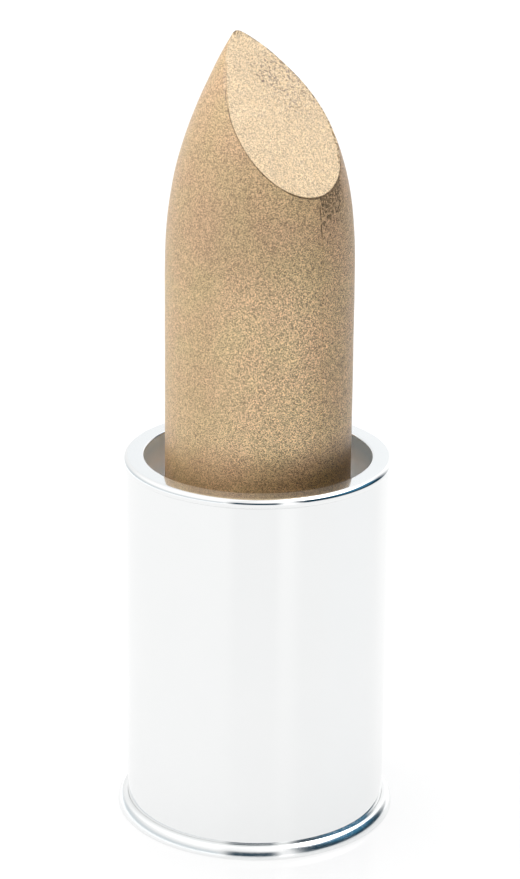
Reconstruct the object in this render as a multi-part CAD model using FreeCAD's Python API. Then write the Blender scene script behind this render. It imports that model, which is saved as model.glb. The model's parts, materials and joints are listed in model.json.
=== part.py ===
import FreeCAD, Part
import math
import os

# Twist-up lipstick, wound right up, without its cap. All sizes are in millimetres and degrees.
# Origin: centre of the face the foot stands on. +Z runs up the axis, and the slanted flat of the
# bullet faces -Y. Three bodies move: the foot with its slotted tube, the shell with its spiral
# sleeve, and the cup with the bullet.

# ---- driving sizes ------------------------------------------------------------------------

FOOT_R = 9.22            # outer radius of the hemmed foot
SHELL_R = 8.58           # plain wall of the outer shell
RIM_R = 8.80             # bead of the rolled rim
MOUTH_R = 7.42           # opening of the rim
CASE_TOP = 24.75         # top of the rim above the standing face
BULLET_R = 6.05          # a standard 12.1 mm stick
SHEET = 0.4              # thickness of the drawn metal
END_GAP = 0.1            # clearance between faces that turn on each other
SIDE_GAP = 0.07          # radial clearance between tubes that turn or slide in each other
FIT_GAP = 0.02           # radial room in a joint that is pressed or glued

STROKE = 13.0            # travel of the cup
PITCH = 13.0             # rise of a spiral groove in one turn: the whole stroke takes one turn

# ---- foot ---------------------------------------------------------------------------------

FOOT_H = 2 * SHEET       # the hem is the sheet folded back on itself
SIDE_R = 1.0             # bulge of the hem's side
SHOULDER_R = 0.36        # tighter roll over the hem's upper edge
FOOT_EDGE_R = 0.02       # the side comes down almost to a corner
HEM_INNER_R = 8.61       # the hem stands round the shell's lower edge
PANEL_R = 7.6            # flat centre panel, raised off the standing face
PANEL_STEP_R = 8.0
PANEL_RISE = 0.15
LABEL_R = 7.3
LABEL_T = 0.08
PANEL_TOP = PANEL_RISE + SHEET

# ---- shell and spiral sleeve --------------------------------------------------------------

SHELL_BOTTOM = SHEET + END_GAP
SHELL_INNER_R = SHELL_R - SHEET
BEAD_R = 0.36            # roll of the rim
MOUTH_ROUND = 0.12
HEEL_ROUND = 0.15        # rounding of the shell's lower edge
SKIRT_WALL = 0.3
SKIRT_BOTTOM = 21.3      # the rim's inner skirt ends here

SLEEVE_R = SHELL_INNER_R - FIT_GAP
SLEEVE_BOTTOM = 2.1
SLEEVE_TOP = SKIRT_BOTTOM - END_GAP
NECK_INNER_R = MOUTH_R + SKIRT_WALL + 2 * FIT_GAP
NECK_TOP = 24.2          # thin neck of the sleeve, held between the skirt and the wall

# ---- slotted tube, cup and lugs -----------------------------------------------------------

CUP_R = 6.48
CUP_BORE_R = 6.10
CUP_FLOOR = 0.8
CUP_BOTTOM = 14.9        # wound right up
CUP_TOP = 22.3
LUG_R = 0.8
LUG_TIP_R = 7.70
LUG_Z = CUP_BOTTOM + 1.0    # height of the lugs' axis
RIB_DEPTH = 0.16
RIB_WIDTH = 0.5
RIB_COUNT = 6
RIB_TOP_DROP = 1.0       # the ribs stop this far below the cup's lip
CUP_CORNER = 0.2         # chamfer under the cup
CUP_LEAD = 0.15          # width of the lead-in at the cup's lip
CUP_LEAD_H = 0.3
WALL_BITE = 0.1          # how far ribs and lugs start inside the cup's wall

TUBE_BORE_R = CUP_R + SIDE_GAP
TUBE_R = 7.10
TUBE_TOP = 21.65
TUBE_BEAD_R = 7.35       # snap bead that holds the spiral sleeve down
TUBE_BEAD_BOTTOM = SLEEVE_TOP + END_GAP
TUBE_BEAD_CHAMFER = 0.1
SLOT_CLEARANCE = 0.08    # on each side of a lug
SLOT_BOTTOM = 2.0        # level with the top of the base insert

SLEEVE_BORE_R = TUBE_R + SIDE_GAP
GROOVE_BOTTOM_R = LUG_TIP_R + END_GAP
GROOVE_HALF_H = 0.93     # half height of the groove, measured up the axis
GROOVE_OVERRUN = 10.0    # the groove runs this many degrees past each end of the lug's travel
CUTTER_OVERLAP = 0.4     # how far the groove's cutter stands out into the bore

# ---- base insert, drag ring and weight ----------------------------------------------------

INSERT_R = 8.02
INSERT_BORE_R = TUBE_R + FIT_GAP
RING_GROOVE_R = 7.52
RING_GROOVE_HALF = 0.35
RING_Z = 1.45
RING_R = 0.31            # radius of the ring's section
WEIGHT_R = TUBE_BORE_R - 2 * FIT_GAP
WEIGHT_H = 1.0
WEIGHT_CHAMFER = 0.15

# ---- bullet -------------------------------------------------------------------------------

NOSE_START = 36.27       # the stick is a plain cylinder up to here
NOSE_LENGTH = 16.0       # from there to the point the nose would close at
NOSE_POWER = 2.63        # section radius: R * (1 - t ** power) ** (1 / fullness)
NOSE_FULLNESS = 1.19
NOSE_LEAN = 2.42         # how far the closing point stands behind the axis
NOSE_LEAN_POWER = 6.0
NOSE_SECTIONS = 16
NOSE_LAST = 0.993        # last section, as a part of the nose's length; the flat removes it
FLAT_ANGLE = 48.2        # slope of the flat from level
FLAT_Z = 49.18           # where the flat crosses the axis
STEM_R = CUP_BORE_R - RIB_DEPTH - FIT_GAP

UP = FreeCAD.Vector(0, 0, 1)
OUT = FreeCAD.Vector(1, 0, 0)
ORIGIN = FreeCAD.Vector(0, 0, 0)


def in_section(r, z):
    """A point of a turned part's half section."""
    return FreeCAD.Vector(r, 0, z)


def turned(*outline):
    """Solid of revolution about Z. The outline is a closed list of (r, z) corners, and a corner
    written as ((r, z), (r, z)) is an arc's middle point and its end point."""
    edges = []
    first = in_section(*outline[0])
    here = first
    for step in outline[1:]:
        if isinstance(step[0], tuple):
            middle = in_section(*step[0])
            end = in_section(*step[1])
            edges.append(Part.Arc(here, middle, end).toShape())
        else:
            end = in_section(*step)
            edges.append(Part.LineSegment(here, end).toShape())
        here = end
    edges.append(Part.LineSegment(here, first).toShape())
    face = Part.Face(Part.Wire(edges))
    return face.revolve(ORIGIN, UP, 360)


def disc(radius, bottom, height):
    """Plain disc about Z."""
    return Part.makeCylinder(radius, height, FreeCAD.Vector(0, 0, bottom), UP)


def on_arc(centre_r, centre_z, radius, angle):
    """Point on a circle in the half section, at an angle in degrees from +r towards +z."""
    turn = math.radians(angle)
    return (centre_r + radius * math.cos(turn), centre_z + radius * math.sin(turn))


def foot_shell():
    """Sheet foot: folded hem round the edge, centre panel raised clear of the standing face."""
    # The side's arc and the shoulder's arc run into each other where both point the same way.
    meeting = math.asin((FOOT_H - FOOT_EDGE_R - SHOULDER_R) / (SIDE_R - SHOULDER_R))
    side_centre_r = FOOT_R - SIDE_R
    shoulder_centre_r = side_centre_r + (SIDE_R - SHOULDER_R) * math.cos(meeting)
    shoulder_centre_z = FOOT_H - SHOULDER_R
    meeting = math.degrees(meeting)
    return turned(
        (0, PANEL_RISE),
        (PANEL_R, PANEL_RISE),
        (PANEL_STEP_R, 0),
        (FOOT_R - FOOT_EDGE_R, 0),
        (on_arc(FOOT_R - FOOT_EDGE_R, FOOT_EDGE_R, FOOT_EDGE_R, -45), (FOOT_R, FOOT_EDGE_R)),
        (on_arc(side_centre_r, FOOT_EDGE_R, SIDE_R, meeting / 2),
         on_arc(side_centre_r, FOOT_EDGE_R, SIDE_R, meeting)),
        (on_arc(shoulder_centre_r, shoulder_centre_z, SHOULDER_R, (meeting + 90) / 2),
         (shoulder_centre_r, FOOT_H)),
        (HEM_INNER_R, FOOT_H),
        (HEM_INNER_R, SHEET),
        (PANEL_STEP_R, SHEET),
        (PANEL_R, PANEL_TOP),
        (0, PANEL_TOP),
    )


def bottom_label():
    """Blank label, stuck up inside the foot's recess."""
    return disc(LABEL_R, PANEL_RISE - LABEL_T, LABEL_T)


def base_insert():
    """Plug that joins the slotted tube to the foot, with the drag ring's groove round it."""
    groove_low = RING_Z - RING_GROOVE_HALF
    groove_high = RING_Z + RING_GROOVE_HALF
    return turned(
        (INSERT_BORE_R, PANEL_TOP),
        (INSERT_R, PANEL_TOP),
        (INSERT_R, groove_low),
        (RING_GROOVE_R, groove_low),
        (RING_GROOVE_R, groove_high),
        (INSERT_R, groove_high),
        (INSERT_R, SLOT_BOTTOM),
        (INSERT_BORE_R, SLOT_BOTTOM),
    )


def drag_ring():
    """Round-section ring that rubs on the inside of the outer shell."""
    ring_r = RING_GROOVE_R + FIT_GAP / 2 + RING_R
    return Part.makeTorus(ring_r, RING_R, FreeCAD.Vector(0, 0, RING_Z), UP)


def base_weight():
    """Steel disc inside the foot of the slotted tube."""
    top = PANEL_TOP + WEIGHT_H
    return turned(
        (0, PANEL_TOP),
        (WEIGHT_R - WEIGHT_CHAMFER, PANEL_TOP),
        (WEIGHT_R, PANEL_TOP + WEIGHT_CHAMFER),
        (WEIGHT_R, top - WEIGHT_CHAMFER),
        (WEIGHT_R - WEIGHT_CHAMFER, top),
        (0, top),
    )


def slotted_tube():
    """Inner tube with a snap bead at its top and two straight slots for the cup's lugs."""
    tube = turned(
        (TUBE_BORE_R, PANEL_TOP),
        (TUBE_R, PANEL_TOP),
        (TUBE_R, TUBE_BEAD_BOTTOM),
        (TUBE_BEAD_R, TUBE_BEAD_BOTTOM + TUBE_BEAD_CHAMFER),
        (TUBE_BEAD_R, TUBE_TOP - TUBE_BEAD_CHAMFER),
        (TUBE_BEAD_R - TUBE_BEAD_CHAMFER, TUBE_TOP),
        (TUBE_BORE_R, TUBE_TOP),
    )
    half_width = LUG_R + SLOT_CLEARANCE
    slot_top = LUG_Z + SLOT_CLEARANCE
    length = 4 * TUBE_R
    corner = FreeCAD.Vector(-length / 2, -half_width, SLOT_BOTTOM)
    slots = Part.makeBox(length, 2 * half_width, slot_top - SLOT_BOTTOM, corner)
    crown_start = FreeCAD.Vector(-length / 2, 0, slot_top)
    crown = Part.makeCylinder(half_width, length, crown_start, OUT)
    return tube.cut(slots.fuse(crown))


def spiral_groove(start_angle):
    """Helical cutter for one lug: it passes the raised lug at start_angle."""
    turns = STROKE / PITCH + 2 * GROOVE_OVERRUN / 360
    path_r = (SLEEVE_BORE_R + GROOVE_BOTTOM_R) / 2
    path = Part.makeHelix(PITCH, turns * PITCH, path_r)
    inside = SLEEVE_BORE_R - CUTTER_OVERLAP
    corners = [
        in_section(inside, -GROOVE_HALF_H),
        in_section(GROOVE_BOTTOM_R, -GROOVE_HALF_H),
        in_section(GROOVE_BOTTOM_R, GROOVE_HALF_H),
        in_section(inside, GROOVE_HALF_H),
    ]
    profile = Part.makePolygon(corners + corners[:1])
    cutter = Part.Wire(path.Edges).makePipeShell([profile], True, True)
    low_z = LUG_Z - STROKE - PITCH * GROOVE_OVERRUN / 360
    low_angle = start_angle - 360 * STROKE / PITCH - GROOVE_OVERRUN
    cutter.rotate(ORIGIN, UP, low_angle)
    cutter.translate(FreeCAD.Vector(0, 0, low_z))
    return cutter


def spiral_sleeve():
    """Sleeve glued in the outer shell; its two right-hand grooves lift the cup's lugs."""
    sleeve = turned(
        (SLEEVE_BORE_R, SLEEVE_BOTTOM),
        (SLEEVE_R, SLEEVE_BOTTOM),
        (SLEEVE_R, NECK_TOP),
        (NECK_INNER_R, NECK_TOP),
        (NECK_INNER_R, SLEEVE_TOP),
        (SLEEVE_BORE_R, SLEEVE_TOP),
    )
    for angle in (0, 180):
        sleeve = sleeve.cut(spiral_groove(angle))
    return sleeve


def outer_shell():
    """Drawn metal tube: plain wall, rolled rim with a small bead, and a skirt turned down inside."""
    bead_z = CASE_TOP - BEAD_R
    bead_centre_r = RIM_R - BEAD_R
    bead_foot = bead_z - math.sqrt(BEAD_R ** 2 - (SHELL_R - bead_centre_r) ** 2)
    under_rim = CASE_TOP - SHEET
    skirt_outer_r = MOUTH_R + SKIRT_WALL
    return turned(
        (SHELL_INNER_R, SHELL_BOTTOM),
        (SHELL_R - HEEL_ROUND, SHELL_BOTTOM),
        (on_arc(SHELL_R - HEEL_ROUND, SHELL_BOTTOM + HEEL_ROUND, HEEL_ROUND, -45),
         (SHELL_R, SHELL_BOTTOM + HEEL_ROUND)),
        (SHELL_R, bead_foot),
        (on_arc(bead_centre_r, bead_z, BEAD_R, 20), (bead_centre_r, CASE_TOP)),
        (MOUTH_R + MOUTH_ROUND, CASE_TOP),
        (on_arc(MOUTH_R + MOUTH_ROUND, CASE_TOP - MOUTH_ROUND, MOUTH_ROUND, 135),
         (MOUTH_R, CASE_TOP - MOUTH_ROUND)),
        (MOUTH_R, SKIRT_BOTTOM),
        (skirt_outer_r, SKIRT_BOTTOM),
        (skirt_outer_r, under_rim),
        (SHELL_INNER_R, under_rim),
    )


def bullet_cup():
    """Cup with gripping ribs inside and two lugs near its foot."""
    cup = turned(
        (0, CUP_BOTTOM),
        (CUP_R - CUP_CORNER, CUP_BOTTOM),
        (CUP_R, CUP_BOTTOM + CUP_CORNER),
        (CUP_R, CUP_TOP),
        (CUP_BORE_R + CUP_LEAD, CUP_TOP),
        (CUP_BORE_R, CUP_TOP - CUP_LEAD_H),
        (CUP_BORE_R, CUP_BOTTOM + CUP_FLOOR),
        (0, CUP_BOTTOM + CUP_FLOOR),
    )
    rib_inner_r = CUP_BORE_R - RIB_DEPTH
    rib_bottom = CUP_BOTTOM + CUP_FLOOR / 2
    rib_height = CUP_TOP - RIB_TOP_DROP - rib_bottom
    for index in range(RIB_COUNT):
        corner = FreeCAD.Vector(rib_inner_r, -RIB_WIDTH / 2, rib_bottom)
        rib = Part.makeBox(RIB_DEPTH + WALL_BITE, RIB_WIDTH, rib_height, corner)
        rib.rotate(ORIGIN, UP, 360 / RIB_COUNT * (index + 0.5))
        cup = cup.fuse(rib)
    lug_start_r = CUP_BORE_R + WALL_BITE
    for side in (-1, 1):
        start = FreeCAD.Vector(side * lug_start_r, 0, LUG_Z)
        lug = Part.makeCylinder(LUG_R, LUG_TIP_R - lug_start_r, start, OUT * side)
        cup = cup.fuse(lug)
    return cup.removeSplitter()


def nose_section(part):
    """Circle of the nose at a part of its length, leaning back from the flat as it rises."""
    radius = BULLET_R * (1 - part ** NOSE_POWER) ** (1 / NOSE_FULLNESS)
    centre = FreeCAD.Vector(0, NOSE_LEAN * part ** NOSE_LEAN_POWER, NOSE_START + NOSE_LENGTH * part)
    return Part.Wire(Part.Circle(centre, UP, radius).toShape())


def bullet():
    """Stick with a narrower stem in the cup, an oblique nose and a slanted flat facing -Y."""
    stem_bottom = CUP_BOTTOM + CUP_FLOOR
    stick = disc(STEM_R, stem_bottom, CUP_TOP - stem_bottom)
    stick = stick.fuse(disc(BULLET_R, CUP_TOP, NOSE_START - CUP_TOP))
    # Sections crowd together towards the tip, where the radius falls away fastest.
    quarter_turn = math.pi / 2
    sections = []
    for index in range(NOSE_SECTIONS):
        crowded = math.sin(quarter_turn * index / (NOSE_SECTIONS - 1))
        sections.append(nose_section(NOSE_LAST * crowded))
    nose = Part.makeLoft(sections, True, False)
    stick = stick.fuse(nose)
    size = 8 * BULLET_R
    above = Part.makeBox(size, size, size, FreeCAD.Vector(-size / 2, -size / 2, 0))
    above.rotate(ORIGIN, OUT, FLAT_ANGLE)
    above.translate(FreeCAD.Vector(0, 0, FLAT_Z))
    return stick.cut(above)


PARTS = (
    foot_shell,
    bottom_label,
    base_insert,
    drag_ring,
    base_weight,
    slotted_tube,
    outer_shell,
    spiral_sleeve,
    bullet_cup,
    bullet,
)

os.makedirs("parts", exist_ok=True)
for make in PARTS:
    shape = make()
    shape.exportStep(f"parts/{make.__name__}.step")
    box = shape.BoundBox
    print(f"{make.__name__}: {len(shape.Solids)} solid, valid {shape.isValid()}, volume {shape.Volume:.1f},"
          f" z {box.ZMin:.2f} to {box.ZMax:.2f}")
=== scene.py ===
import json
import math

import bpy
from mathutils import Matrix, Vector, noise


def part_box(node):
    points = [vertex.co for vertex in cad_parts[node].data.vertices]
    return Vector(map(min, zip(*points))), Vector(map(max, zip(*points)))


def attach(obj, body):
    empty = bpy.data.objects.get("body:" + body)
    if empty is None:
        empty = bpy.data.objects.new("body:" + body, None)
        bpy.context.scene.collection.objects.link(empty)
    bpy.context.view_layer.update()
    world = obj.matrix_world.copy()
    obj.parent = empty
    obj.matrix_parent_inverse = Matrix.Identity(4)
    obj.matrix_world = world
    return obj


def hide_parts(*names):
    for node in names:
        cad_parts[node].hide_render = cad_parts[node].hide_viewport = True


# Looks for the twist-up lipstick. Sizes are in millimetres, as the CAD's are, and MM turns them
# into Blender's metres. Heights and radii come from the CAD nodes' boxes wherever a box gives them.

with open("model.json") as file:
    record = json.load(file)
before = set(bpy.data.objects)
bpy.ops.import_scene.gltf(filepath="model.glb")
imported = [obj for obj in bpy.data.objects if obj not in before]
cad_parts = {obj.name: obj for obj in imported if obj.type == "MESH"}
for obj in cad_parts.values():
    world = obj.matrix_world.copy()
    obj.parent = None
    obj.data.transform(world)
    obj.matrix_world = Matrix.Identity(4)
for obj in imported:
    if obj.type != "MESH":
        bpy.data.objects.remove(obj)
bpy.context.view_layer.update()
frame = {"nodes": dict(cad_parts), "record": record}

MM = 0.001


def extents(node):
    """Outer radius, lowest and highest point of a turned CAD node, in millimetres."""
    low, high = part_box(node)
    return high[0] / MM, low[2] / MM, high[2] / MM


# ---- sizes --------------------------------------------------------------------------------

RIM_R, SHELL_BOTTOM, CASE_TOP = extents("outer_shell")
FOOT_R, FOOT_BOTTOM, FOOT_H = extents("foot_shell")
BULLET_R, STEM_BOTTOM, BULLET_TOP = extents("bullet")
CUP_TOP = extents("bullet_cup")[2]
SHELL_R = frame["record"]["mounts"][0]["dims"]["r_mm"]

SHEET = 0.4              # thickness of the drawn metal
MOUTH_R = 7.42           # opening of the rim
BEAD_R = 0.36            # roll of the rim
MOUTH_ROUND = 0.12       # rounding between the rim's top and the mouth
HEEL_ROUND = 0.15        # rounding of the shell's lower edge
SKIRT_WALL = 0.3         # the rim's sheet turns down inside as a skirt
SKIRT_BOTTOM = 21.3
RIM_TOP_SKIN = 0.01      # faces this near the case's top are the rim's flat top

HEM_INNER_R = 8.59       # the hem stands round the shell's lower edge
SHOULDER_R = 0.36        # the foot's upper edge rolls over in two arcs
SIDE_R = 1.0
FOOT_EDGE_R = 0.02
PANEL_R = 7.6            # centre panel, raised off the standing face
PANEL_STEP_R = 8.0
PANEL_RISE = 0.15

NOSE_START = 36.27       # the stick is a plain cylinder up to here
NOSE_LENGTH = 16.0
NOSE_POWER = 2.63
NOSE_FULLNESS = 1.19
NOSE_LEAN = 2.42
NOSE_LEAN_POWER = 6.0
FLAT_SLOPE = math.tan(math.radians(48.2))
FLAT_Z = 49.18           # where the flat crosses the axis
STEM_R = 5.92


# ---- meshes -------------------------------------------------------------------------------

ARC_STEP = 6.0           # degrees between the points of a rounded stretch
LATHE_COLUMNS = 288
LATHE_CRISP_ANGLE = 25.0     # edges that turn by more degrees than this stay sharp


def solid_from(name, points, faces, crisp_angle):
    """Object from points in millimetres; edges that turn more than crisp_angle stay sharp."""
    mesh = bpy.data.meshes.new(name)
    mesh.from_pydata([(x * MM, y * MM, z * MM) for x, y, z in points], [], faces)
    mesh.validate()
    mesh.shade_smooth()
    mesh.set_sharp_from_angle(angle=math.radians(crisp_angle))
    piece = bpy.data.objects.new(name, mesh)
    bpy.context.scene.collection.objects.link(piece)
    return piece


def arc(centre_r, centre_z, radius, start, end):
    """Points of an arc in the half section, from start to end in degrees from +r towards +z."""
    count = max(2, math.ceil(abs(end - start) / ARC_STEP))
    points = []
    for index in range(count + 1):
        turn = math.radians(start + (end - start) * index / count)
        points.append((centre_r + radius * math.cos(turn), centre_z + radius * math.sin(turn)))
    return points


def turned(name, outline):
    """Closed solid of revolution from an anticlockwise half section; points on the axis are poles."""
    points = []
    rings = []
    for r, z in outline:
        if r == 0:
            rings.append([len(points)] * LATHE_COLUMNS)
            points.append((0, 0, z))
            continue
        rings.append(list(range(len(points), len(points) + LATHE_COLUMNS)))
        for column in range(LATHE_COLUMNS):
            turn = math.tau * column / LATHE_COLUMNS
            points.append((r * math.cos(turn), r * math.sin(turn), z))
    faces = []
    for index, ring in enumerate(rings):
        above = rings[(index + 1) % len(rings)]
        for column in range(LATHE_COLUMNS):
            after = (column + 1) % LATHE_COLUMNS
            corners = [ring[column], ring[after], above[after], above[column]]
            face = list(dict.fromkeys(corners))
            if len(face) > 2:
                faces.append(face)
    return solid_from(name, points, faces, LATHE_CRISP_ANGLE)


def foot_piece():
    """Foot of folded sheet: hem round the edge, centre panel raised off the standing face."""
    # The arcs meet where both their heights add up to the foot's.
    meeting = math.asin((FOOT_H - FOOT_EDGE_R - SHOULDER_R) / (SIDE_R - SHOULDER_R))
    shoulder_centre_r = FOOT_R - SIDE_R + (SIDE_R - SHOULDER_R) * math.cos(meeting)
    meeting = math.degrees(meeting)
    outline = [(0, PANEL_RISE), (PANEL_R, PANEL_RISE), (PANEL_STEP_R, FOOT_BOTTOM)]
    outline += arc(FOOT_R - FOOT_EDGE_R, FOOT_EDGE_R, FOOT_EDGE_R, -90, 0)
    outline += arc(FOOT_R - SIDE_R, FOOT_EDGE_R, SIDE_R, 0, meeting)[1:]
    outline += arc(shoulder_centre_r, FOOT_H - SHOULDER_R, SHOULDER_R, meeting, 90)[1:]
    outline += [
        (HEM_INNER_R, FOOT_H),
        (HEM_INNER_R, SHEET),
        (PANEL_STEP_R, SHEET),
        (PANEL_R, PANEL_RISE + SHEET),
        (0, PANEL_RISE + SHEET),
    ]
    piece = turned("hemmed_foot", outline)
    piece.data.materials.append(mirror_metal("handled_metal", smoothest=0.14, roughest=0.22))
    return piece


def shell_piece():
    """Drawn tube with a rolled rim and a skirt turned down inside."""
    bead_z = CASE_TOP - BEAD_R
    bead_centre_r = RIM_R - BEAD_R
    under_bead = -math.degrees(math.acos((SHELL_R - bead_centre_r) / BEAD_R))
    skirt_outer_r = MOUTH_R + SKIRT_WALL
    under_rim = CASE_TOP - SHEET
    outline = [(SHELL_R - SHEET, SHELL_BOTTOM)]
    outline += arc(SHELL_R - HEEL_ROUND, SHELL_BOTTOM + HEEL_ROUND, HEEL_ROUND, -90, 0)
    outline += arc(bead_centre_r, bead_z, BEAD_R, under_bead, 90)
    outline += arc(MOUTH_R + MOUTH_ROUND, CASE_TOP - MOUTH_ROUND, MOUTH_ROUND, 90, 180)
    outline += [
        (MOUTH_R, SKIRT_BOTTOM),
        (skirt_outer_r, SKIRT_BOTTOM),
        (skirt_outer_r, under_rim),
        (SHELL_R - SHEET, under_rim),
    ]
    piece = turned("mirror_shell", outline)
    wall = mirror_metal("mirror_metal", smoothest=0.02, roughest=0.06)
    for material in (wall, mouth_metal(), rim_metal()):
        piece.data.materials.append(material)
    for face in piece.data.polygons:
        place = face.center / MM
        if math.hypot(place.x, place.y) < skirt_outer_r and place.z < CASE_TOP - MOUTH_ROUND:
            face.material_index = 1
        elif place.z > CASE_TOP - RIM_TOP_SKIN:
            face.material_index = 2
    return piece


# ---- bullet -------------------------------------------------------------------------------

BULLET_COLUMNS = 400
SIDE_ROWS = 92
FLAT_RINGS = 64
BULLET_CRISP_ANGLE = 30.0
CUT_STEPS = 50           # halvings of the search for the flat's edge

SIDE_WAVE = 0.012        # how uneven the side is
SIDE_INSET = 0.006       # sets it in, so that its high spots are level with the CAD's side
EDGE_CRUMBS = 0.02       # the flat's very edge is crumbled, this far in and this far down

SEAM = math.radians(-88.5)    # the mould's seam runs down the side that the flat faces
SEAM_MARGIN = 0.03       # no other column comes nearer to the seam's own
SEAM_PROFILE = (         # distance round from the seam, and how far the wax stands out there
    (-0.22, 0.0), (-0.13, 0.012), (-0.06, 0.02), (-0.01, 0.0), (0.02, -0.045), (0.07, -0.045),
    (0.10, 0.0), (0.20, 0.0))

LIP_SWELL = 0.022        # wax smeared over the edge
NICK_DEPTH = 0.035       # groove under it
NICK_BELOW = 0.13
NICK_HALF = 0.07

WORN_TURN = SEAM - math.radians(95)    # middle of the edge that has been worn round
WORN_SPREAD = (1.0, 0.3)     # radians to either side where the wear starts, and where it's full
WORN_HEIGHTS = (47.2, 48.6)
WORN_REACH = 0.36        # how far down the side it reaches
WORN_DEPTH = 0.6         # depth of the roll, as a part of a quarter circle's

RIPPLE_DEPTH = 0.010     # slanting ripples on the flat
RIPPLE_PITCH = 0.34
RIPPLE_ALONG = (0.55, 0.83)      # the way from one to the next, in x and z
RIPPLE_HEIGHTS = (46.0, 50.0)    # they grow from nothing to full between these
PIT_DEPTH = 0.032        # crumbled patch on the flat
PIT_SIZE = 0.16
PIT_X = (-1.0, 2.5)      # it grows from nothing to full between these
PIT_Z = 48.4             # height of its middle
PIT_SPREAD = (2.6, 0.6)      # distances up or down where it is faint, and where it's full
PIT_TOP = (51.0, 50.0)
PEEL_DEPTH = 0.006       # orange peel all over the flat
PEEL_SIZE = 0.3
FLAT_MARGIN = 0.15       # all three fade out this near to the flat's edge

MARKS_BELOW = 0.1        # the dark marks on the side start this far below the flat
GROOVE_WIDTH = 0.09      # the seam's groove has painted shade as far down as this
GROOVE_BELOW = 2.5
SMEAR_FROM = 0.15        # smears start this far from the seam
SMEAR_TO = 2.8           # and end this far from it and this far below the flat
SMEAR_COVER = 0.28       # how much of the wax they cover, and how fast they thin out downwards
SMEAR_THINNING = 0.26
TIP_SPECKS = 0.22        # depth of the speckled tip
CHIP_WIDTH = 0.11        # dark chips in part of the flat's edge
CHIPS_FROM_X = 2.0
CHIPS_FROM_Z = 44.5
EDGE_LINE_TURNS = (-1.75, 2.6)    # radians from the seam between which the edge has a painted shadow line
EDGE_LINE = 0.11         # how far the line reaches below the edge, and how much that varies
EDGE_LINE_WAVE = 0.09
RAGGED_LINE = 0.06       # on the smears' side of the seam it reaches further and is ragged
RAGGED_WAVE = 0.25


def bullet_turns():
    """Column angles: even steps, with the seam's own columns put in place of those next to it."""
    seam = [SEAM + across / BULLET_R for across, _ in SEAM_PROFILE]
    even = [math.tau * (index + 0.5) / BULLET_COLUMNS - math.pi for index in range(BULLET_COLUMNS)]
    clear = SEAM_MARGIN / BULLET_R
    even = [turn for turn in even if not seam[0] - clear < turn < seam[-1] + clear]
    return sorted(even + seam)


def smooth(value, low, high):
    """0 at low, 1 at high, eased at both ends."""
    part = min(1.0, max(0.0, (value - low) / (high - low)))
    return part * part * (3 - 2 * part)


def rough(x, y, z, size):
    """Smooth noise between about -1 and 1, with lumps about size millimetres across."""
    return noise.noise(Vector((x / size, y / size, z / size)))


def seam_height(turn, height):
    """How far the moulding seam stands out of the side: broken up on its way down."""
    across = (turn - SEAM) * BULLET_R
    for (x0, h0), (x1, h1) in zip(SEAM_PROFILE, SEAM_PROFILE[1:]):
        if x0 <= across <= x1:
            broken = 0.75 + 0.6 * rough(across, 0, height, 0.5)
            return broken * (h0 + (h1 - h0) * (across - x0) / (x1 - x0))
    return 0.0


def lip_height(turn, below):
    """Wax smeared over the edge by the flat: a thin uneven lip with a nick under it."""
    swell = LIP_SWELL * smooth(below, 0.30, 0.05)
    nick = NICK_DEPTH * smooth(abs(below - NICK_BELOW), NICK_HALF, 0.0)
    uneven = 0.6 + 0.9 * rough(3 * math.cos(turn), 3 * math.sin(turn), below, 0.5)
    return swell * uneven - nick * (1.2 - uneven)


def edge_roll(turn, below, height):
    """How far the side rolls in under the flat's edge, where the tip has been worn smooth."""
    reach = WORN_REACH * smooth(abs(turn - WORN_TURN), *WORN_SPREAD) * smooth(height, *WORN_HEIGHTS)
    if below >= reach:
        return 0.0
    return WORN_DEPTH * (reach - math.sqrt(reach ** 2 - (reach - below) ** 2))


def section(height):
    """Centre y and radius of the stick's round section at a height."""
    part = max(0.0, (height - NOSE_START) / NOSE_LENGTH)
    radius = BULLET_R * (1 - part ** NOSE_POWER) ** (1 / NOSE_FULLNESS)
    return NOSE_LEAN * part ** NOSE_LEAN_POWER, radius


def cut_height(turn):
    """Height at which the side meets the flat, going up the column at an angle in radians."""
    low, high = NOSE_START, BULLET_TOP + 0.1
    for _ in range(CUT_STEPS):
        middle = (low + high) / 2
        centre, radius = section(middle)
        plane = FLAT_Z + FLAT_SLOPE * (centre + radius * math.sin(turn))
        if middle < plane:
            low = middle
        else:
            high = middle
    return low


def flat_dent(x, y, z, inward):
    """How far the flat is dented: slanting ripples towards the tip, and a crumbled patch by the edge."""
    along = RIPPLE_ALONG[0] * x + RIPPLE_ALONG[1] * (z - RIPPLE_HEIGHTS[0])
    wave = math.sin(along / RIPPLE_PITCH * math.tau + 2.0 * rough(x, y, z, 2.0))
    ripple = RIPPLE_DEPTH * smooth(z, *RIPPLE_HEIGHTS) * wave
    crumbled = smooth(rough(x, y, z, PIT_SIZE), 0.25, 0.55) * smooth(x, *PIT_X)
    near_middle = 0.25 + 0.75 * smooth(abs(z - PIT_Z), *PIT_SPREAD)
    pits = PIT_DEPTH * crumbled * near_middle * smooth(z, *PIT_TOP)
    orange_peel = PEEL_DEPTH * rough(x, y, z, PEEL_SIZE)
    return smooth(inward, 0.0, FLAT_MARGIN) * (pits + ripple + orange_peel)


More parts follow.
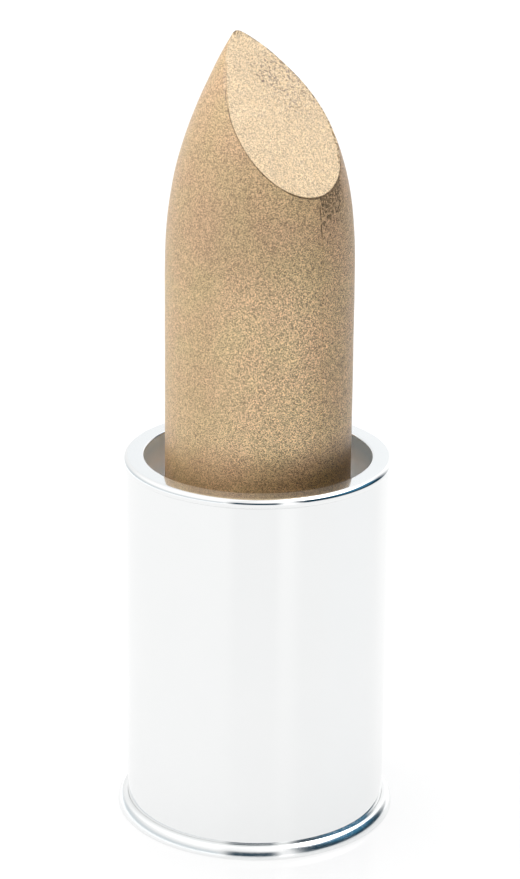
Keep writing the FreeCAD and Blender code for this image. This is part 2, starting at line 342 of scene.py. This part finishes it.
def bullet_piece():
    """Stick with a slanted flat, a moulding seam and the marks of its making."""
    points = []
    rows = []
    turns = bullet_turns()
    columns = len(turns)
    tops = [cut_height(turn) for turn in turns]

    def add_row(row):
        rows.append(list(range(len(points), len(points) + columns)))
        points.extend(row)

    def circle(radius, height):
        return [(radius * math.cos(turn), radius * math.sin(turn), height) for turn in turns]

    add_row(circle(STEM_R, STEM_BOTTOM))
    add_row(circle(STEM_R, CUP_TOP))
    for index in range(SIDE_ROWS + 1):
        climb = math.sin(math.pi / 2 * index / SIDE_ROWS)
        row = []
        for turn, top in zip(turns, tops):
            height = CUP_TOP + (top - CUP_TOP) * climb
            centre, radius = section(height)
            x, y = radius * math.cos(turn), centre + radius * math.sin(turn)
            below = top - height
            out = lip_height(turn, below) + seam_height(turn, height) * smooth(below, 0.05, 0.3)
            out += SIDE_WAVE * rough(x, y, height, 1.6) - SIDE_INSET - edge_roll(turn, below, height)
            if below < EDGE_CRUMBS:
                out += EDGE_CRUMBS * rough(x, y, height, 0.12)
            row.append((x + out * math.cos(turn), y + out * math.sin(turn), height))
        add_row(row)
    edge = [Vector(points[index]) for index in rows[-1]]
    middle = sum(edge, Vector()) / len(edge)
    middle.y = (min(p.y for p in edge) + max(p.y for p in edge)) / 2
    middle.z = FLAT_Z + FLAT_SLOPE * middle.y
    slant = math.atan(FLAT_SLOPE)
    for index in range(1, FLAT_RINGS + 1):
        shrink = 1 - index / (FLAT_RINGS + 1)
        row = []
        for corner in edge:
            place = middle + (corner - middle) * shrink
            dent = flat_dent(*place, (corner - place).length)
            row.append((place.x, place.y + dent * math.sin(slant), place.z - dent * math.cos(slant)))
        add_row(row)
    faces = []
    for lower, upper in zip(rows, rows[1:]):
        for column in range(columns):
            after = (column + 1) % columns
            faces.append([lower[column], lower[after], upper[after], upper[column]])
    pole = len(points)
    points.append(tuple(middle))
    faces += [[rows[-1][column], rows[-1][(column + 1) % columns], pole] for column in range(columns)]
    faces.append(list(reversed(rows[0])))
    piece = solid_from("lipstick_bullet", points, faces, BULLET_CRISP_ANGLE)
    for material in (side_wax(), flat_wax(), dark_wax_and_painted_shade()):
        piece.data.materials.append(material)
    side_faces = (len(rows) - FLAT_RINGS - 1) * columns
    for face in piece.data.polygons:
        if is_dark(face.center / MM):
            face.material_index = 2
        elif side_faces <= face.index < len(faces) - 1:
            face.material_index = 1
    return piece


def is_dark(place):
    """True on dark wax and painted shade: painted shade in the top of the seam's groove, dark wax in the
    smears on one side of it, on the tip's specks and on the chips in the flat's edge, and painted shadow
    on the thin uneven line under that edge."""
    centre, radius = section(place.z)
    turn = math.atan2(place.y - centre, place.x)
    from_centre = math.hypot(place.x, place.y - centre)
    across = (turn - SEAM) * BULLET_R
    below = cut_height(turn) - place.z
    # painted shade in the seam's groove
    if 0.0 < across < GROOVE_WIDTH and MARKS_BELOW < below < GROOVE_BELOW:
        return rough(1.0, 0, place.z, 0.35) > -0.1
    if SMEAR_FROM < across < SMEAR_TO and MARKS_BELOW < below < SMEAR_TO:
        return rough(*place, 0.11) > SMEAR_THINNING * below - SMEAR_COVER
    if place.z > BULLET_TOP - TIP_SPECKS:
        return rough(*place, 0.1) > 0.05
    above_flat = place.z - FLAT_Z - FLAT_SLOPE * place.y
    on_flat_edge = abs(above_flat) < 0.05 and radius - from_centre < CHIP_WIDTH
    if on_flat_edge and place.x > CHIPS_FROM_X and place.z > CHIPS_FROM_Z:
        return rough(*place, 0.13) > 0.1
    # painted shadow on the thin uneven line under the flat's edge
    wide = EDGE_LINE + EDGE_LINE_WAVE * rough(*place, 0.7)
    if turn > SEAM:
        wide += RAGGED_LINE + RAGGED_WAVE * rough(*place, 0.2)
    on_side = from_centre > radius - 0.08
    return on_side and 0.006 < below < wide and EDGE_LINE_TURNS[0] < turn - SEAM < EDGE_LINE_TURNS[1]


# ---- nodes --------------------------------------------------------------------------------

MIX_FIRST = 6            # the Mix node's sockets for colours
MIX_SECOND = 7
MIX_RESULT = 2


class NodeTree:
    """Short ways to make and join the nodes of a material or a world."""

    def __init__(self, owner, coordinates):
        owner.use_nodes = True
        self.tree = owner.node_tree
        self.tree.nodes.clear()
        self.place = self.node("ShaderNodeTexCoord").outputs[coordinates]

    def node(self, kind, **settings):
        made = self.tree.nodes.new(kind)
        for key, value in settings.items():
            setattr(made, key, value)
        return made

    def feed(self, socket, source):
        """Link a node's output to a socket, or set the socket to a colour, vector or number."""
        if isinstance(source, bpy.types.NodeSocket):
            self.tree.links.new(source, socket)
        elif socket.type == "RGBA":
            socket.default_value = (*source, 1)
        else:
            socket.default_value = source

    def stretch(self, source, low, high, out_low=0.0, out_high=1.0, curve="LINEAR"):
        """source mapped from low..high to out_low..out_high, held at both ends."""
        made = self.node("ShaderNodeMapRange", interpolation_type=curve)
        self.feed(made.inputs["Value"], source)
        self.feed(made.inputs["From Min"], low)
        self.feed(made.inputs["From Max"], high)
        self.feed(made.inputs["To Min"], out_low)
        self.feed(made.inputs["To Max"], out_high)
        return made.outputs["Result"]

    def blend(self, amount, first, second):
        """Colour that goes from first to second as amount goes from 0 to 1."""
        made = self.node("ShaderNodeMix", data_type="RGBA")
        self.feed(made.inputs["Factor"], amount)
        self.feed(made.inputs[MIX_FIRST], first)
        self.feed(made.inputs[MIX_SECOND], second)
        return made.outputs[MIX_RESULT]

    def combine(self, operation, first, second):
        """Arithmetic on two values."""
        made = self.node("ShaderNodeMath", operation=operation)
        self.feed(made.inputs[0], first)
        self.feed(made.inputs[1], second)
        return made.outputs[0]

    def rise(self):
        """The place's Z."""
        split = self.node("ShaderNodeSeparateXYZ")
        self.feed(split.inputs[0], self.place)
        return split.outputs["Z"]

    def outward(self):
        """Level unit vector from the Z axis towards the place."""
        level = self.node("ShaderNodeVectorMath", operation="MULTIPLY")
        self.feed(level.inputs[0], self.place)
        self.feed(level.inputs[1], (1, 1, 0))
        unit = self.node("ShaderNodeVectorMath", operation="NORMALIZE")
        self.feed(unit.inputs[0], level.outputs[0])
        return unit.outputs[0]

    def dot(self, vector, direction):
        """How far a vector goes along a fixed direction."""
        made = self.node("ShaderNodeVectorMath", operation="DOT_PRODUCT")
        self.feed(made.inputs[0], vector)
        self.feed(made.inputs[1], direction)
        return made.outputs["Value"]


# ---- materials ----------------------------------------------------------------------------

UNTINTED = (1.0, 1.0, 1.0)
NOISE_SPAN = (0.3, 0.7)      # nearly all of a noise's values lie between these


class Finish(NodeTree):
    """A procedural material: one Principled shader and the nodes that feed it."""

    def __init__(self, name, **constants):
        self.material = bpy.data.materials.new(name)
        super().__init__(self.material, "Object")
        output = self.node("ShaderNodeOutputMaterial")
        self.shader = self.node("ShaderNodeBsdfPrincipled")
        self.feed(output.inputs["Surface"], self.shader.outputs["BSDF"])
        for socket, value in constants.items():
            self.feed(self.shader.inputs[socket.replace("_", " ")], value)

    def noise(self, size, detail):
        """Soft noise whose blobs are about size millimetres across."""
        made = self.node("ShaderNodeTexNoise")
        self.feed(made.inputs["Scale"], 1 / (size * MM))
        self.feed(made.inputs["Detail"], detail)
        self.feed(made.inputs["Vector"], self.place)
        return made.outputs["Fac"]

    def cells(self, size):
        """Random value for each cell, about size millimetres across."""
        made = self.node("ShaderNodeTexVoronoi")
        self.feed(made.inputs["Scale"], 1 / (size * MM))
        self.feed(made.inputs["Vector"], self.place)
        split = self.node("ShaderNodeSeparateColor")
        self.feed(split.inputs["Color"], made.outputs["Color"])
        return split.outputs["Red"]

    def multiply(self, first, second):
        """Product of two colours or values."""
        made = self.node("ShaderNodeMix", data_type="RGBA", blend_type="MULTIPLY")
        self.feed(made.inputs["Factor"], 1.0)
        self.feed(made.inputs[MIX_FIRST], first)
        self.feed(made.inputs[MIX_SECOND], second)
        return made.outputs[MIX_RESULT]

    def tinted(self, tone, amount, tint):
        """tone as it is where amount is 0, and multiplied by tint where it is 1."""
        return self.multiply(tone, self.blend(amount, UNTINTED, tint))

    def height(self):
        """Height above the standing face, in millimetres."""
        return self.combine("DIVIDE", self.rise(), MM)

    def facing(self, direction, low, high):
        """0 to 1 round the axis, as the way out from it turns towards a direction (x, y)."""
        return self.stretch(self.dot(self.outward(), (*direction, 0)), low, high)

    def colour(self, source):
        self.feed(self.shader.inputs["Base Color"], source)

    def roughness(self, source):
        self.feed(self.shader.inputs["Roughness"], source)

    def uneven_roughness(self, size, detail, smoothest, roughest):
        """Roughness that wanders between two values in blobs about size millimetres across."""
        self.roughness(self.stretch(self.noise(size, detail), *NOISE_SPAN, smoothest, roughest))

    def bump(self, height, distance):
        """Raise the surface by up to distance millimetres where height goes from 0 to 1."""
        made = self.node("ShaderNodeBump")
        self.feed(made.inputs["Distance"], distance * MM)
        self.feed(made.inputs["Height"], height)
        self.feed(self.shader.inputs["Normal"], made.outputs["Normal"])


def mirror_metal(name, smoothest, roughest):
    """Mirror-polished aluminium with faint polishing haze."""
    finish = Finish(name, Metallic=1.0)
    finish.colour(finish.blend(finish.noise(3.0, 4.0), (0.86, 0.87, 0.87), (0.88, 0.885, 0.885)))
    finish.uneven_roughness(0.6, 5.0, smoothest, roughest)
    finish.bump(finish.noise(0.5, 3.0), 0.0002)
    return finish.material


def mouth_metal():
    """The rim's inside, drawn and left unpolished; tinted cool blue-grey near the top, plain further
    down.
    """
    finish = Finish("mouth_metal", Metallic=0.5)
    # cool blue-grey tint near the top of the mouth, fading out further down
    plain_below = finish.stretch(finish.height(), CASE_TOP - 0.7, CASE_TOP - 1.8)
    tone = finish.blend(plain_below, (0.76, 0.88, 0.97), UNTINTED)
    patches = finish.blend(finish.noise(1.5, 4.0), (0.95, 0.96, 0.97), UNTINTED)
    finish.colour(finish.multiply(tone, patches))
    finish.uneven_roughness(0.2, 3.0, 0.35, 0.5)
    finish.bump(finish.noise(0.1, 3.0), 0.001)
    return finish.material


def rim_metal():
    """The rim's flat top, hazed by wiping."""
    finish = Finish("rim_metal", Metallic=0.95)
    finish.colour(finish.blend(finish.noise(1.2, 4.0), (0.81, 0.84, 0.855), (0.825, 0.85, 0.865)))
    finish.uneven_roughness(0.5, 4.0, 0.05, 0.12)
    finish.bump(finish.noise(0.4, 3.0), 0.0003)
    return finish.material


WAX = (0.572, 0.410, 0.229)
SPECK = 0.052            # size of the specks in the wax's colour, and of the pearl grains
PEARL = 0.06
# painted shade and coarser grain go on the first side, a painted sheen on the second
PAINTED_SHADE_SIDE = (0.593, -0.805)        # directions out from the axis
SHEEN_SIDE = (-0.509, -0.861)
CRUMBLED_SIDE = (0.75, 0.66)
PAINTED_SHADE_FADE = (37.0, 41.0)           # heights between which each finish comes or goes
SHEEN_FADE = (39.0, 36.0)
NOSE_DARKER_FADE = (37.0, 40.5)
RIM_SHADE_FADE = (CUP_TOP + 5.0, CUP_TOP + 3.4)
CRUMBS_START = (FLAT_Z - 3.5, FLAT_Z - 1.5)
CRUMBS_END = (FLAT_Z + 1.9, FLAT_Z + 0.9)


def shaded(colour, amount, warmth=0.0):
    """A colour made lighter or darker; warmth takes some green and more blue out of it."""
    red, green, blue = (amount * part for part in colour)
    return red, green * (1 - warmth / 2), blue * (1 - warmth)


def side_wax():
    """Nude pearl wax with painted light: painted shade and coarser grain on the side to the camera's
    right, a painted sheen low on the side facing the camera, darker on the nose, and painted shade where
    it leaves the case."""
    finish = Finish("side_wax", Specular_IOR_Level=0.6)
    height = finish.height()
    speck = finish.cells(SPECK)
    pearl = finish.cells(PEARL)
    # Painted shade: this mask darkens the side to the camera's right, coarsens its grain to stand in for
    # light grazing it, and deepens the shade by the case
    shade_side_mask = finish.multiply(finish.facing(PAINTED_SHADE_SIDE, -0.2, 0.95),
                             finish.stretch(height, *PAINTED_SHADE_FADE, out_low=1.0, out_high=0.6))
    plain = finish.blend(speck, shaded(WAX, 0.45, 0.15), shaded(WAX, 1.62))
    coarse = finish.blend(speck, shaded(WAX, 0.12, 0.3), shaded(WAX, 1.98))
    tone = finish.blend(shade_side_mask, plain, coarse)
    # painted shade: darker tint on the side to the camera's right
    tone = finish.tinted(tone, finish.facing(PAINTED_SHADE_SIDE, 0.6, 1.0), (0.84, 0.79, 0.74))
    patches = finish.stretch(finish.noise(2.5, 3.0), 0.35, 0.65)
    tone = finish.multiply(tone, finish.blend(patches, (0.995, 0.955, 0.96), (0.965, 0.99, 0.94)))
    # Painted sheen: lighter and cooler low down on the side that faces the camera
    polished = finish.multiply(finish.facing(SHEEN_SIDE, 0.72, 0.95),
                               finish.stretch(height, *SHEEN_FADE))
    tone = finish.tinted(tone, polished, (1.16, 1.18, 1.22))
    # a little darker on the nose, above these heights
    tone = finish.tinted(tone, finish.stretch(height, *NOSE_DARKER_FADE), (0.93, 0.91, 0.93))
    # Painted shade low on the stick where it leaves the case, deeper on the side to the camera's right
    painted_rim_shade = finish.blend(shade_side_mask, (0.86, 0.78, 0.72), (0.47, 0.40, 0.28))
    finish.colour(finish.tinted(tone, finish.stretch(height, *RIM_SHADE_FADE), painted_rim_shade))
    finish.roughness(finish.stretch(pearl, 0.0, 1.0, 0.35, 0.55))
    finish.bump(pearl, 0.005)
    return finish.material


def flat_wax():
    """Freshly cut pearl wax: glossier, and crumbled in a patch towards the back edge, with painted shade
    in its pits.
    """
    finish = Finish("flat_wax", Specular_IOR_Level=0.95)
    height = finish.height()
    speck = finish.cells(SPECK)
    pearl = finish.cells(PEARL)
    tone = finish.blend(speck, shaded(WAX, 0.44, 0.08), shaded(WAX, 1.66, -0.04))
    crumbled = finish.multiply(finish.facing(CRUMBLED_SIDE, -0.6, 0.9),
                               finish.stretch(height, *CRUMBS_START))
    crumbled = finish.multiply(crumbled, finish.stretch(height, *CRUMBS_END))
    # Painted shade: dark specks in the crumbled patch stand for the shade in its pits
    pit_shade = finish.multiply(crumbled, finish.stretch(finish.cells(0.09), 0.74, 0.86))
    finish.colour(finish.tinted(tone, pit_shade, (0.24, 0.18, 0.13)))
    finish.roughness(finish.stretch(pearl, 0.0, 1.0, 0.30, 0.50))
    finish.bump(pearl, 0.005)
    return finish.material


def dark_wax_and_painted_shade():
    """Dark wax in smears, specks and chips, and painted shade in the seam's groove and the thin line
    under the flat's edge.
    """
    finish = Finish("dark_wax_and_painted_shade", Roughness=0.6)
    finish.colour(finish.blend(finish.cells(0.07), shaded(WAX, 0.08, 0.3), shaded(WAX, 0.58, 0.2)))
    finish.bump(finish.cells(0.05), 0.004)
    return finish.material


def moulded_plastic(name, colour):
    """Satin moulded plastic: fine spark-eroded skin and a little grey grime."""
    finish = Finish(name)
    tone = finish.blend(finish.noise(2.0, 4.0), shaded(colour, 0.93), colour)
    grime = finish.stretch(finish.noise(0.9, 5.0), 0.58, 0.75)
    finish.colour(finish.blend(grime, tone, shaded(colour, 0.80, 0.08)))
    finish.uneven_roughness(0.3, 3.0, 0.35, 0.5)
    finish.bump(finish.noise(0.12, 2.0), 0.003)
    return finish.material


def zinc_steel(name, colour):
    """Stamped steel with a spangled zinc coat."""
    finish = Finish(name, Metallic=1.0)
    spangle = finish.cells(0.9)
    finish.colour(finish.blend(spangle, shaded(colour, 0.85), shaded(colour, 1.12)))
    finish.roughness(finish.stretch(spangle, 0.0, 1.0, 0.28, 0.48))
    finish.bump(finish.noise(0.35, 4.0), 0.006)
    return finish.material


def greased_silicone(name, colour):
    """Soft ring, glossy where the grease lies on it."""
    finish = Finish(name, Subsurface_Weight=0.15, Subsurface_Scale=0.4 * MM)
    finish.colour(finish.blend(finish.noise(0.8, 3.0), shaded(colour, 0.9, 0.05), colour))
    finish.roughness(finish.stretch(finish.noise(0.5, 4.0), 0.35, 0.65, 0.12, 0.45))
    finish.bump(finish.noise(0.2, 3.0), 0.004)
    return finish.material


def paper_label(name, colour):
    """Blank matt paper with its fibres just showing."""
    finish = Finish(name)
    finish.colour(finish.blend(finish.noise(0.25, 6.0), shaded(colour, 0.94, 0.02), colour))
    finish.uneven_roughness(0.1, 3.0, 0.75, 0.9)
    finish.bump(finish.noise(0.07, 4.0), 0.006)
    return finish.material


def record_colour(slot):
    """The base colour that the record gives a material slot."""
    for entry in frame["record"]["materials"]:
        if entry["slot"] == slot:
            return tuple(entry["base_color"][:3])
    raise ValueError(slot)


# ---- camera and floor ---------------------------------------------------------------------

CAMERA_AZIMUTH = math.radians(-38.59)
CAMERA_ELEVATION = math.radians(19.385)
CAMERA_ROLL = math.radians(0.591)
CAMERA_DISTANCE = 186.2
TARGET_RIGHT = 0.117     # the camera looks this far beside the axis
TARGET_HEIGHT = 25.68
LENS = 117.54
NEAREST = 10.0           # nothing nearer to the camera than this is drawn

FLOOR_HALF = 3000.0      # half the floor's side
FLOOR_DROP = 0.02        # it lies this far under the foot


def add_camera():
    across = Vector((math.cos(CAMERA_AZIMUTH), math.sin(CAMERA_AZIMUTH), 0))
    level = Vector((math.sin(CAMERA_AZIMUTH), -math.cos(CAMERA_AZIMUTH), 0))
    back = level * math.cos(CAMERA_ELEVATION) + Vector((0, 0, math.sin(CAMERA_ELEVATION)))
    above = back.cross(across)
    right = across * math.cos(CAMERA_ROLL) + above * math.sin(CAMERA_ROLL)
    up = back.cross(right)
    target = across * TARGET_RIGHT + Vector((0, 0, TARGET_HEIGHT))
    place = (target + back * CAMERA_DISTANCE) * MM
    data = bpy.data.cameras.new("camera")
    data.lens = LENS
    data.clip_start = NEAREST * MM
    camera = bpy.data.objects.new("camera", data)
    turn = Matrix((right, up, back)).transposed()
    camera.matrix_world = Matrix.Translation(place) @ turn.to_4x4()
    bpy.context.scene.collection.objects.link(camera)
    bpy.context.scene.camera = camera


def add_floor():
    """White acrylic sheet, lit from below so that it stays as white as the studio."""
    side = FLOOR_HALF * MM
    height = -FLOOR_DROP * MM
    mesh = bpy.data.meshes.new("floor")
    corners = [(-side, -side, height), (side, -side, height), (side, side, height), (-side, side, height)]
    mesh.from_pydata(corners, [], [(0, 1, 2, 3)])
    floor = bpy.data.objects.new("floor", mesh)
    bpy.context.scene.collection.objects.link(floor)
    acrylic = Finish("white_acrylic", Base_Color=(0.20, 0.20, 0.20), Roughness=0.04, IOR=1.12,
                     Emission_Color=(1, 1, 1), Emission_Strength=0.71)
    mesh.materials.append(acrylic.material)


# ---- studio -------------------------------------------------------------------------------

# Directions are seen from the object, in degrees: azimuths from the camera to its right, and
# elevations from level. Each edge has a softness, the angle over which it fades to either side.
# A sector is (start, its softness, end, its softness).

FRONT_SECTOR = (-22.5, 6, 19, 5)     # the dark patches that the metal mirrors
FRONT_TOP = (31, 9)
RIGHT_SECTOR = (35, 8, 134, 14)
RIGHT_TOP = (43, 10)
DARK = (0.012, 0.045, 0.075)

LEFT_SECTOR = (-145, 20, -28, 3)     # dim low down and bright high up
DIM_TOP = (16, 7)
DIM = (0.70, 0.75, 0.78)
LEFT_BRIGHT_FROM = (28, 6)
BRIGHT_FROM = (-5, 25)               # azimuth from which all the rest is bright
BRIGHT = (1.17, 1.17, 1.17)
WHITE = (0.98, 0.985, 0.985)

SOFTBOX = (94, 46, 38, 22)           # azimuth, elevation, outer angle and inner angle
SOFTBOX_GAIN = 3.5

OVERHEAD = (60, 6)                   # the light overhead starts at this elevation
OVERHEAD_GAIN = 4.0
SHADE_FROM = (-15, 45)               # lower down, less light comes from beyond this azimuth
SHADE_TOP = (62, 8)
SHADE = (0.05, 0.05, 0.05)
FULL_WHITE = (1.0, 1.0, 1.0)


def studio_direction(azimuth, elevation=0.0):
    """Unit vector from the object in a direction of the studio."""
    turn = CAMERA_AZIMUTH + math.radians(azimuth)
    rise = math.radians(elevation)
    return math.sin(turn) * math.cos(rise), -math.cos(turn) * math.cos(rise), math.sin(rise)


class Studio(NodeTree):
    """The world's nodes, which give each direction its light."""

    def __init__(self, world):
        super().__init__(world, "Generated")

    def ramp(self, source, low, high):
        """Eased step from 0 at low to 1 at high; low may be the greater one."""
        return self.stretch(source, low, high, curve="SMOOTHSTEP")

    def both(self, first, second):
        return self.combine("MULTIPLY", first, second)

    def either(self, first, second):
        return self.combine("MAXIMUM", first, second)

    def beyond(self, azimuth, softness):
        """1 in the half circle that starts at an azimuth; a negative softness is 1 in the other."""
        edge = math.sin(math.radians(softness))
        return self.ramp(self.dot(self.outward(), studio_direction(azimuth + 90)), -edge, edge)

    def sector(self, start, start_softness, end, end_softness):
        """1 between two azimuths less than half a circle apart."""
        return self.both(self.beyond(start, start_softness), self.beyond(end, -end_softness))

    def above(self, elevation, softness):
        """1 above an elevation; a negative softness is 1 below it."""
        return self.ramp(self.rise(), math.sin(math.radians(elevation - softness)),
                         math.sin(math.radians(elevation + softness)))

    def below(self, elevation, softness):
        return self.above(elevation, -softness)

    def patch(self, azimuth, elevation, outer, inner):
        """Round patch: 0 outside the outer angle from its middle, 1 inside the inner one."""
        towards = self.dot(self.place, studio_direction(azimuth, elevation))
        return self.ramp(towards, math.cos(math.radians(outer)), math.cos(math.radians(inner)))

    def gain(self, amount, most):
        """Strength that goes from 1 up by most as amount goes from 0 to 1."""
        return self.combine("ADD", self.both(amount, most), 1.0)

    def background(self, colour, strength):
        made = self.node("ShaderNodeBackground")
        self.feed(made.inputs["Color"], colour)
        self.feed(made.inputs["Strength"], strength)
        return made.outputs[0]

    def choose(self, amount, first, second):
        """The first shader where amount is 0, and the second where it is 1."""
        made = self.node("ShaderNodeMixShader")
        self.feed(made.inputs[0], amount)
        self.feed(made.inputs[1], first)
        self.feed(made.inputs[2], second)
        return made.outputs[0]


def add_studio():
    """A studio in three parts: what the metal mirrors, what lights the rest, and a white backdrop."""
    world = bpy.data.worlds.new("studio")
    bpy.context.scene.world = world
    studio = Studio(world)
    front = studio.both(studio.sector(*FRONT_SECTOR), studio.below(*FRONT_TOP))
    right = studio.both(studio.sector(*RIGHT_SECTOR), studio.below(*RIGHT_TOP))
    left = studio.sector(*LEFT_SECTOR)
    left_bright = studio.both(left, studio.above(*LEFT_BRIGHT_FROM))
    bright = studio.either(studio.beyond(*BRIGHT_FROM), left_bright)
    walls = studio.blend(bright, WHITE, BRIGHT)
    walls = studio.blend(studio.both(left, studio.below(*DIM_TOP)), walls, DIM)
    walls = studio.blend(studio.either(front, right), walls, DARK)
    mirrored = studio.background(walls, studio.gain(studio.patch(*SOFTBOX), SOFTBOX_GAIN))

    shaded_side = studio.both(studio.beyond(*SHADE_FROM), studio.below(*SHADE_TOP))
    soft = studio.blend(shaded_side, FULL_WHITE, SHADE)
    lighting = studio.background(soft, studio.gain(studio.above(*OVERHEAD), OVERHEAD_GAIN))

    rays = studio.node("ShaderNodeLightPath")
    backdrop = studio.background(FULL_WHITE, 1.0)
    seen = studio.choose(rays.outputs["Is Glossy Ray"], lighting, mirrored)
    seen = studio.choose(rays.outputs["Is Camera Ray"], seen, backdrop)
    studio.feed(studio.node("ShaderNodeOutputWorld").inputs["Surface"], seen)
    bpy.context.scene.view_settings.view_transform = "Standard"


# ---- assembly -----------------------------------------------------------------------------

def declare(piece, body, node):
    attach(piece, body)
    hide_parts(node)


add_camera()
add_floor()
add_studio()

declare(foot_piece(), "base", "foot_shell")
declare(shell_piece(), "shell", "outer_shell")
declare(bullet_piece(), "cup", "bullet")

REPLACED_SLOTS = ("polished_metal", "lipstick")
LOOKS = {"steel": zinc_steel, "silicone": greased_silicone, "label": paper_label}

for entry in frame["record"]["subparts"]:
    node, slot = entry["node"], entry["material_slot"]
    if slot in REPLACED_SLOTS:
        continue
    look = LOOKS.get(slot, moulded_plastic)
    material = look(slot + "_finish", record_colour(slot))
    for material_slot in frame["nodes"][node].material_slots:
        material_slot.material = material
